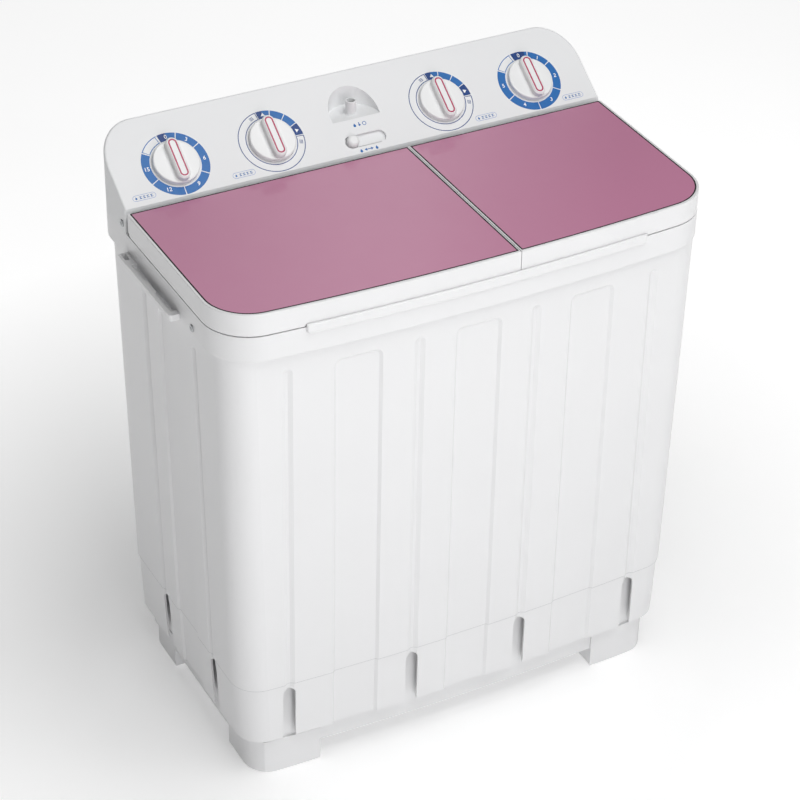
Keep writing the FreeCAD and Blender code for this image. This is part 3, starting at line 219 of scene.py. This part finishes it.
# one paint for each material slot of the record
PAINTS = {
    "body_white": moulded("body_white", WHITE, 0.30),
    "console_white": moulded("console_white", rgb(231, 232, 233), 0.42, depth=0.00001),
    "lid_white": moulded("lid_white", WHITE, 0.26, coat=0.15),
    "lid_pink": coloured_panel("lid_pink", rgb(196, 128, 160)),
    "knob_white": moulded("knob_white", rgb(234, 235, 235), 0.30, grain=2200.0),
    "pointer_pink": ink("pointer_pink", rgb(180, 48, 92), 0.3),
    "tub_grey": moulded("tub_grey", rgb(226, 229, 232), 0.28, coat=0.1),
    "pulsator_white": moulded("pulsator_white", rgb(235, 237, 240), 0.25, coat=0.2),
    "basket_white": moulded("basket_white", rgb(232, 235, 238), 0.28),
    "chassis_white": moulded("chassis_white", rgb(228, 228, 229), 0.45, dust=0.03),
    "net_blue": moulded("net_blue", rgb(96, 146, 196), 0.6),
    "back_grey": moulded("back_grey", rgb(214, 216, 218), 0.5, dust=0.04),
    "steel": metal("steel", rgb(190, 192, 194), 0.28, (1, 1, 0.08)),
    "screw_steel": metal("screw_steel", rgb(176, 178, 180), 0.32, (1, 1, 1), 1500.0),
    "motor_steel": metal("motor_steel", rgb(120, 124, 128), 0.42, (1, 1, 0.2), 300.0, 0.00004, 0.25),
    "casting": cast_metal("casting", rgb(150, 152, 154)),
    "rubber": rubber_paint("rubber", rgb(24, 24, 25)),
    "black_plastic": moulded("black_plastic", rgb(38, 38, 40), 0.5, dust=0.1),
    "drain_grey": moulded("drain_grey", rgb(176, 180, 184), 0.45, dust=0.05),
}
INK_BLUE = ink("ink_blue", rgb(28, 106, 178))
INK_DARK = ink("ink_dark", rgb(12, 62, 130))
INK_WHITE = ink("ink_white", rgb(250, 250, 250))
INK_PALE = ink("ink_pale", rgb(150, 168, 214))
# painted shadow: grey ink for the line that stands for the shade under the cabinet's lower edge
SEAM_SHADOW_INK = ink("painted_seam_shadow", rgb(188, 190, 192), 0.5)

for record_part in frame["record"]["subparts"]:
    node_object = frame["nodes"][record_part["node"]]
    for index in range(len(node_object.data.materials)):
        node_object.material_slots[index].link = "OBJECT"
        node_object.material_slots[index].material = PAINTS[record_part["material_slot"]]


# ---------------------------------------------------------------- small mesh tools
PRINT_LOW = -0.02     # printed ink in millimetres: from just under the surface
PRINT = 0.10          # up to its top
OVERPRINT = 0.16      # top of a second colour on the first
OVERLAP = 0.02        # how far the second colour reaches into the first
ARC_STEP = 2.5        # degrees


def piece(name, bm, paint, body="root", smooth=False):
    """Turn a finished bmesh into an object that moves with a body."""
    mesh = bpy.data.meshes.new(name)
    bmesh.ops.recalc_face_normals(bm, faces=bm.faces)
    bm.to_mesh(mesh)
    bm.free()
    mesh.materials.append(paint)
    for polygon in mesh.polygons:
        polygon.use_smooth = smooth
    obj = bpy.data.objects.new(name, mesh)
    bpy.context.scene.collection.objects.link(obj)
    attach(obj, body)
    return obj


def tube_faces(bm, rows, closed=True):
    """Join rows of vertices into the surface of a bar; closed rows come back to their start."""
    count = len(rows[0])
    for i in range(count if closed else count - 1):
        j = (i + 1) % count
        for a, b in zip(rows, rows[1:] + rows[:1]):
            bm.faces.new((a[i], a[j], b[j], b[i]))


def strip(bm, left, right, place, closed=False):
    """A stripe of ink between two lines of the same number of points."""
    def row(points, height):
        return [bm.verts.new(place @ Vector((x, y, height))) for x, y in points]

    rows = [row(left, PRINT), row(right, PRINT), row(right, PRINT_LOW), row(left, PRINT_LOW)]
    tube_faces(bm, rows, closed)
    if not closed:
        for end in (0, -1):
            bm.faces.new([line[end] for line in rows])


def slab(bm, outline, place, low=PRINT_LOW, high=PRINT):
    """A patch of ink with a convex outline."""
    top = [bm.verts.new(place @ Vector((x, y, high))) for x, y in outline]
    bottom = [bm.verts.new(place @ Vector((x, y, low))) for x, y in outline]
    bm.faces.new(top)
    bm.faces.new(bottom[::-1])
    for i in range(len(outline)):
        j = (i + 1) % len(outline)
        bm.faces.new((top[i], bottom[i], bottom[j], top[j]))


def bar(bm, half_width, half_height, place):
    """A rectangular patch of ink centred on the place."""
    w, h = half_width, half_height
    slab(bm, [(-w, -h), (w, -h), (w, h), (-w, h)], place)


def arc(radius, start, end, steps=None):
    """Points on a circle, angles clockwise from up in degrees."""
    steps = steps or max(3, int(abs(end - start) / ARC_STEP))
    angles = [math.radians(start + (end - start) * i / steps) for i in range(steps + 1)]
    return [(radius * math.sin(a), radius * math.cos(a)) for a in angles]


def sector(bm, inner, outer, start, end, place):
    """A piece of a printed ring."""
    strip(bm, arc(inner, start, end), arc(outer, start, end), place)


def pill(half_length, half_height, steps=10):
    """Outline of a lozenge with round ends."""
    points = []
    for side in (1, -1):
        for i in range(steps + 1):
            a = math.pi / 2 - math.pi * i / steps
            points.append((side * (half_length - half_height + half_height * math.cos(a)),
                           side * half_height * math.sin(a)))
    return points


def drop(radius, steps=16):
    """Outline of a water drop, point up."""
    points = [(0.0, radius * 1.9)]
    for i in range(steps + 1):
        a = math.radians(50 + 260 * i / steps)
        points.append((radius * math.sin(a), radius * math.cos(a)))
    return points


def moved(x, y, z=0.0):
    return Matrix.Translation((x, y, z))


def turned(degrees):
    """A turn clockwise, as seen by someone facing the console."""
    return Matrix.Rotation(-math.radians(degrees), 4, "Z")


# ---------------------------------------------------------------- console prints, in millimetres and degrees
FACE_NORMAL = -Vector(JOINTS["wash_timer_turn"]["axis"]).normalized()
FACE_UP = FACE_NORMAL.cross(Vector((1, 0, 0)))
BAND_IN = 37.6                 # printed rings round the dials
BAND_OUT = 50.0
BAND_MIDDLE = (BAND_IN + BAND_OUT) / 2
LINE = 1.2                     # width of the printed lines

NUMERAL_SIZE = 8.6
NUMERAL_WEIGHT = 0.12
TIMER_GAP = 0.9                # half the gap between two segments
TIMER_EDGES = (20, 62, 122, 182, 242, 303)     # between the numbered segments, clockwise from up
OFF_START = 346                # the off segment ends where the first numbered one starts
BLANK_SIDES = (304.4, 342.2)   # side lines of the outlined segment without a number
BLANK_LINE = 1.1

SELECTOR_GAP = 0.8
SLOT_START = 92                # the two thin circles and the short lines that join them
SLOT_END = 351
SLOT_LINE = 1.4
SELECTOR_OFF = (352, 363, 377)
SELECTOR_EDGES = (17, 43, 67, 91)
ARROW_ANGLES = (3.5, 80)
ARROW = ((0, 2.9), (3.2, -2.3), (-3.2, -2.3))
BARS_ANGLES = (338, 105)
BARS_PITCH = 1.9

BADGE_PITCH = 5.6              # between the marks in a badge


def on_face(x, up):
    """Frame in millimetres on the console's face: x across, up the slope from the dials' centre line."""
    centre = Vector(JOINTS["wash_timer_turn"]["pos_m"])
    origin = Vector((x * MM, centre.y, centre.z)) + FACE_UP * up * MM
    axes = Matrix((Vector((1, 0, 0)), FACE_UP, FACE_NORMAL)).transposed().to_4x4()
    return Matrix.Translation(origin) @ axes @ Matrix.Scale(MM, 4)


def dial_place(joint):
    return on_face(JOINTS[joint]["pos_m"][0] / MM, 0.0)


def numeral(bm, text, place):
    """A printed numeral, centred on the place."""
    half_depth = (OVERPRINT - PRINT) / 2 + OVERLAP
    curve = bpy.data.curves.new("numeral", "FONT")
    curve.body = text
    curve.size = NUMERAL_SIZE
    curve.align_x = "CENTER"
    curve.align_y = "CENTER"
    curve.extrude = half_depth
    curve.offset = NUMERAL_WEIGHT
    temp = bpy.data.objects.new("numeral", curve)
    bpy.context.scene.collection.objects.link(temp)
    bpy.context.view_layer.update()
    mesh = bpy.data.meshes.new_from_object(temp.evaluated_get(bpy.context.evaluated_depsgraph_get()))
    bpy.data.objects.remove(temp)
    mesh.transform(place @ moved(0, 0, OVERPRINT - half_depth))
    bm.from_mesh(mesh)
    bpy.data.meshes.remove(mesh)


def timer_print(joint, numerals, dark_to):
    """Ring of numbered segments, an outlined blank one, and the off segment, dark up to that angle."""
    place = dial_place(joint)
    name = joint.replace("_turn", "")
    blue, dark, white = bmesh.new(), bmesh.new(), bmesh.new()
    for start, end in zip(TIMER_EDGES, TIMER_EDGES[1:]):
        sector(blue, BAND_IN, BAND_OUT, start + TIMER_GAP, end - TIMER_GAP, place)
    sector(dark, BAND_IN, BAND_OUT, OFF_START + TIMER_GAP, 360 + dark_to, place)
    sector(blue, BAND_IN, BAND_OUT, 360 + dark_to, 360 + TIMER_EDGES[0] - TIMER_GAP, place)
    for radius in (BAND_IN, BAND_OUT - LINE):
        sector(blue, radius, radius + LINE, TIMER_EDGES[-1] + TIMER_GAP, OFF_START - TIMER_GAP, place)
    for at in BLANK_SIDES:
        sector(blue, BAND_IN + LINE, BAND_OUT - LINE, at, at + BLANK_LINE, place)
    for text, angle, tilt in numerals:
        numeral(white, text, place @ turned(angle) @ moved(0, BAND_MIDDLE) @ turned(tilt - angle))
    piece(name + "_ring_blue", blue, INK_BLUE)
    piece(name + "_ring_dark", dark, INK_DARK)
    piece(name + "_numerals", white, INK_WHITE)


def selector_print(joint):
    """Two thin circles joined into a slot, filled segments, two arrowheads and two groups of bars."""
    place = dial_place(joint)
    name = joint.replace("_turn", "")
    blue, dark, white = bmesh.new(), bmesh.new(), bmesh.new()
    for radius in (BAND_IN, BAND_OUT - LINE):
        sector(dark, radius, radius + LINE, SLOT_START, SLOT_END, place)
    for at in (SLOT_START, SLOT_END - SLOT_LINE):
        sector(dark, BAND_IN + LINE, BAND_OUT - LINE, at, at + SLOT_LINE, place)
    off_start, off_middle, off_end = SELECTOR_OFF
    sector(dark, BAND_IN, BAND_OUT, off_start, off_middle, place)
    sector(blue, BAND_IN, BAND_OUT, off_middle, off_end - SELECTOR_GAP, place)
    for paint, start, end in zip((blue, blue, dark), SELECTOR_EDGES, SELECTOR_EDGES[1:]):
        sector(paint, BAND_IN, BAND_OUT, start + SELECTOR_GAP, end - SELECTOR_GAP, place)
    for angle in ARROW_ANGLES:
        slab(white, ARROW, place @ turned(angle) @ moved(0, BAND_MIDDLE), PRINT - OVERLAP, OVERPRINT)
    for angle in BARS_ANGLES:
        for row in (-BARS_PITCH, 0.0, BARS_PITCH):
            bar(dark, 3.1, 0.45, place @ turned(angle) @ moved(0, BAND_MIDDLE + row))
    piece(name + "_ring_blue", blue, INK_BLUE)
    piece(name + "_ring_dark", dark, INK_DARK)
    piece(name + "_arrows", white, INK_WHITE)


def badge(name, x, up):
    """Small pill-shaped label with a drop and four generic marks: two bars and an upright each."""
    place = on_face(x, up)
    pale, blue = bmesh.new(), bmesh.new()
    length, height, line = 17.6, 4.6, 0.6
    strip(pale, pill(length, height), pill(length - line, height - line), place, closed=True)
    slab(blue, drop(1.5), place @ moved(-12.2, -0.6))
    for i in range(4):
        mark = place @ moved(BADGE_PITCH * (i - 1), 0)
        for row in (1.5, -1.5):
            bar(blue, 1.9, 0.45, mark @ moved(0, row))
        bar(blue, 0.45, 1.5, mark @ moved(-0.2 * i, 0))
    piece(name + "_outline", pale, INK_PALE)
    piece(name + "_marks", blue, INK_BLUE)


def icon_row():
    """Generic symbols under the inlet pocket and under the water selector."""
    blue = bmesh.new()
    place = on_face(0, -5.6)
    slab(blue, drop(2.1), place @ moved(-7.5, -1.2))
    bar(blue, 0.7, 2.0, place @ moved(0, 1.0))
    slab(blue, [(-2.6, -0.6), (2.6, -0.6), (0, -3.4)], place)
    strip(blue, arc(3.2, 0, 360, 24), arc(2.3, 0, 360, 24), place @ moved(8.2, -0.2))
    place = on_face(-1.0, -47.2)
    for side in (-1, 1):
        slab(blue, drop(2.1), place @ moved(side * 12.5, -1.2))
    bar(blue, 4.0, 0.6, place)
    for side in (-1, 1):
        slab(blue, [(side * 3.4, 2.5), (side * 7.2, 0), (side * 3.4, -2.5)], place)
    piece("inlet_and_selector_icons", blue, INK_BLUE)


# each numeral: its text, its angle round the dial, and its own tilt
timer_print("wash_timer_turn", [("0", 1, 0), ("3", 41, 30), ("6", 92, 12), ("9", 151, 14), ("12", 213, 8),
                                ("15", 271, 4)], 2)
timer_print("spin_timer_turn", [("0", 1, 0), ("1", 41, 30), ("2", 92, 12), ("3", 151, 14), ("4", 213, 8),
                                ("5", 271, 4)], 14)
selector_print("wash_selector_turn")
selector_print("drain_selector_turn")
for badge_name, badge_x, badge_up in (("badge_1", -350.5, -38.5), ("badge_2", -197.5, -40.0),
                                      ("badge_3", 196.0, -41.0), ("badge_4", 345.0, -41.0)):
    badge(badge_name, badge_x, badge_up)
icon_row()


# ---------------------------------------------------------------- seals round the lids' panels
def plan_ring(node):
    """The plan outline of a node's underside, in order round it, as (x, y), and its height."""
    obj = frame["nodes"][node]
    points = [obj.matrix_world @ v.co for v in obj.data.vertices]
    low = min(p.z for p in points)
    ring = sorted({(round(p.x, 6), round(p.y, 6)) for p in points if p.z < low + 0.1 * MM})
    middle = sum((Vector(p) for p in ring), Vector((0, 0))) / len(ring)
    return sorted(ring, key=lambda p: math.atan2(p[1] - middle.y, p[0] - middle.x)), low


def grown(ring, distance):
    """The ring moved outward by that distance."""
    out = []
    for i, point in enumerate(ring):
        before, after = Vector(ring[i - 1]), Vector(ring[(i + 1) % len(ring)])
        one = (Vector(point) - before).normalized()
        two = (after - Vector(point)).normalized()
        side = Vector((one.y + two.y, -one.x - two.x)).normalized()
        reach = distance / max(0.5, side.dot(Vector((one.y, -one.x))))
        out.append((point[0] + side.x * reach, point[1] + side.y * reach))
    return out


def trim_round(ring, section):
    """A bar along the ring; its section is a list of (outward in millimetres, height in metres)."""
    bm = bmesh.new()
    rows = [[bm.verts.new((x, y, z)) for x, y in grown(ring, reach * MM)] for reach, z in section]
    tube_faces(bm, rows)
    return bm


def panel_seal(lid):
    """Black rubber trim in the groove round a lid's coloured panel; its low crown laps both edges."""
    ring, low = plan_ring(lid + "_panel")
    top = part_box(lid + "_panel")[1].z
    foot = [(0.06, low), (0.06, top - 0.7 * MM)]
    crown = [(reach, top + rise * MM) for reach, rise in
             ((-0.55, 0.02), (-0.4, 0.16), (0.1, 0.25), (1.0, 0.25), (1.6, 0.16), (1.75, 0.02), (1.04, 0.0))]
    bm = trim_round(ring, foot + crown + [(1.04, low)])
    piece(lid + "_seal", bm, PAINTS["rubber"], body=lid)


panel_seal("wash_lid")
panel_seal("spin_lid")


# ---------------------------------------------------------------- painted shadow line between cabinet and base
def outer_edge(node):
    """The outer edge of a node's flat underside, in order round it, as (x, y), and its height."""
    bm = bmesh.new()
    bm.from_mesh(frame["nodes"][node].data)
    bmesh.ops.remove_doubles(bm, verts=bm.verts, dist=0.001 * MM)
    low = min(v.co.z for v in bm.verts)

    def is_rim(edge):
        level = all(v.co.z < low + 0.01 * MM for v in edge.verts)
        return level and sum(face.normal.z < -0.9 for face in edge.link_faces) == 1

    rim = {edge for edge in bm.edges if is_rim(edge)}
    vertex = max((v for edge in rim for v in edge.verts), key=lambda v: v.co.x)
    ring = []
    while True:
        ring.append((vertex.co.x, vertex.co.y))
        onward = [edge for edge in vertex.link_edges if edge in rim]
        if not onward:
            break
        rim.discard(onward[0])
        vertex = onward[0].other_vert(vertex)
    bm.free()
    ring.pop()
    area = sum(a[0] * b[1] - b[0] * a[1] for a, b in zip(ring, ring[1:] + ring[:1]))
    return (ring if area > 0 else ring[::-1]), low


def parting_shadow_line():
    """Painted shadow: a fine grey line where the cabinet's lower edge meets the base, standing for the shade under
    its overhang.
    """
    ring, low = outer_edge("cabinet")
    section = [(reach, low + rise * MM) for reach, rise in
               ((-0.2, 0.02), (0.06, 0.02), (0.08, 0.28), (0.06, 0.54), (-0.2, 0.54))]
    # painted shadow: this grey ribbon stands for the shade where the cabinet overhangs the base
    piece("base_parting_shadow_line", trim_round(ring, section), SEAM_SHADOW_INK)


parting_shadow_line()


# ---------------------------------------------------------------- lint filter's net
def lint_net():
    """Fine woven net held stretched in the filter's frame, bellied a little towards the tub."""
    lo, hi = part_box("lint_filter_net")
    width, height, depth = hi.x - lo.x, hi.z - lo.z, hi.y - lo.y
    pitch, thread = 1.7 * MM, 0.32 * MM
    depthwise = Vector((0, 1, 0))
    bm = bmesh.new()

    def point(u, v, wave):
        belly = math.sin(math.pi * u) * math.sin(math.pi * v)
        y = (lo.y + hi.y) / 2 - belly * (depth / 2 - thread) * 0.8 + wave
        x = lo.x + thread + u * (width - 2 * thread)
        return Vector((x, y, lo.z + thread + v * (height - 2 * thread)))

    def run(path, across):
        """One thread: a four-sided tube along the path."""
        section = [step * thread for step in (across, depthwise, -across, -depthwise)]
        rows = [[bm.verts.new(centre + corner) for corner in section] for centre in path]
        for a, b in zip(rows, rows[1:]):
            for i in range(4):
                bm.faces.new((a[i], a[i - 1], b[i - 1], b[i]))
        bm.faces.new(rows[0])
        bm.faces.new(rows[-1])

    columns, levels = round(width / pitch), round(height / pitch)
    for i in range(columns + 1):
        path = [point(i / columns, j / levels, thread * 0.5 * (-1) ** (i + j)) for j in range(levels + 1)]
        run(path, Vector((1, 0, 0)))
    for j in range(levels + 1):
        path = [point(i / columns, j / levels, -thread * 0.5 * (-1) ** (i + j)) for i in range(columns + 1)]
        run(path, Vector((0, 0, 1)))
    net = piece("lint_net_weave", bm, PAINTS["net_blue"], smooth=True)
    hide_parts("lint_filter_net")


lint_net()


# ---------------------------------------------------------------- floor, light and camera
FLOOR_HALF = 14.0
WORLD_LIGHT = 0.14
# each softbox: offset from the object's middle in metres, width in metres, power in watts
SOFTBOXES = {
    "key": ((0.3, -1.05, 2.79), 2.2, 55.0),
    "front": ((-0.35, -2.9, 0.75), 1.6, 27.5),
    "back_card": ((1.35, 2.5, 1.93), 2.6, 17.0),
}
CAMERA_PLACE = (-1.5523, -2.8653, 2.6770)
CAMERA_VIEW = (0.39270, 0.72768, -0.56238)
CAMERA_ROLL = 1.036            # degrees
LENS = 118.66                  # for a sensor 36 mm wide


def fade_across(light):
    """Dim a softbox towards one side, so that its reflection in the lids has no hard edge."""
    light.use_nodes = True
    tree = light.node_tree
    place = tree.nodes.new("ShaderNodeNewGeometry").outputs["Parametric"]
    split = tree.nodes.new("ShaderNodeSeparateXYZ")
    fade = tree.nodes.new("ShaderNodeValToRGB")
    elements = fade.color_ramp.elements
    elements[0].position, elements[0].color = 0.28, (0, 0, 0, 1)
    elements[1].position, elements[1].color = 0.72, (0.5, 0.5, 0.5, 1)
    for position, level in ((0.40, 0.42), (0.49, 0.98), (0.56, 1.0)):
        elements.new(position).color = (level, level, level, 1)
    tree.links.new(place, split.inputs["Vector"])
    tree.links.new(split.outputs["X"], fade.inputs["Fac"])
    tree.links.new(fade.outputs["Color"], tree.nodes["Emission"].inputs["Strength"])


def floor():
    """Pale paper floor that glows a little away from the object, so that it reads as white."""
    bm = bmesh.new()
    bmesh.ops.create_grid(bm, x_segments=2, y_segments=2, size=FLOOR_HALF)
    mesh = bpy.data.meshes.new("floor")
    bm.to_mesh(mesh)
    bm.free()
    p = Paint("floor_paper", Roughness=0.9, Emission_Color=(1, 1, 1, 1))
    dim, bright = (0.82, 0.82, 0.82, 1), (0.84, 0.84, 0.84, 1)
    p.link(p.ramp(p.noise(3.0, 2.0), (0.3, dim), (0.7, bright)), "Base Color")
    distance = p.node("VectorMath", {0: p.coords}, operation="LENGTH").outputs["Value"]
    p.link(p.remap(distance, 0.5, 1.3, 0.30, 0.62), "Emission Strength")
    mesh.materials.append(p.mat)
    obj = bpy.data.objects.new("floor", mesh)
    bpy.context.scene.collection.objects.link(obj)


def lights():
    """Three softboxes that face the object's middle, and an even, weak sky."""
    world = bpy.data.worlds.new("studio")
    world.use_nodes = True
    world.node_tree.nodes["Background"].inputs["Color"].default_value = (1, 1, 1, 1)
    world.node_tree.nodes["Background"].inputs["Strength"].default_value = WORLD_LIGHT
    bpy.context.scene.world = world
    centre = (CAD_LO + CAD_HI) / 2
    for name, (offset, size, power) in SOFTBOXES.items():
        light = bpy.data.lights.new(name, "AREA")
        light.shape = "SQUARE"
        light.size = size
        light.energy = power
        if name == "back_card":
            fade_across(light)
        lamp = bpy.data.objects.new(name, light)
        lamp.location = centre + Vector(offset)
        lamp.rotation_mode = "QUATERNION"
        lamp.rotation_quaternion = (-Vector(offset)).to_track_quat("-Z", "Y")
        bpy.context.scene.collection.objects.link(lamp)


def camera():
    """A long lens from the front left and above."""
    obj = bpy.data.objects.new("camera", bpy.data.cameras.new("camera"))
    obj.data.lens = LENS
    obj.data.sensor_width = 36.0
    obj.data.clip_end = 60.0
    obj.location = CAMERA_PLACE
    obj.rotation_mode = "QUATERNION"
    roll = Quaternion((0, 0, 1), math.radians(CAMERA_ROLL))
    obj.rotation_quaternion = Vector(CAMERA_VIEW).to_track_quat("-Z", "Y") @ roll
    bpy.context.scene.collection.objects.link(obj)
    bpy.context.scene.camera = obj


floor()
lights()
camera()
bpy.context.scene.view_settings.view_transform = "Standard"
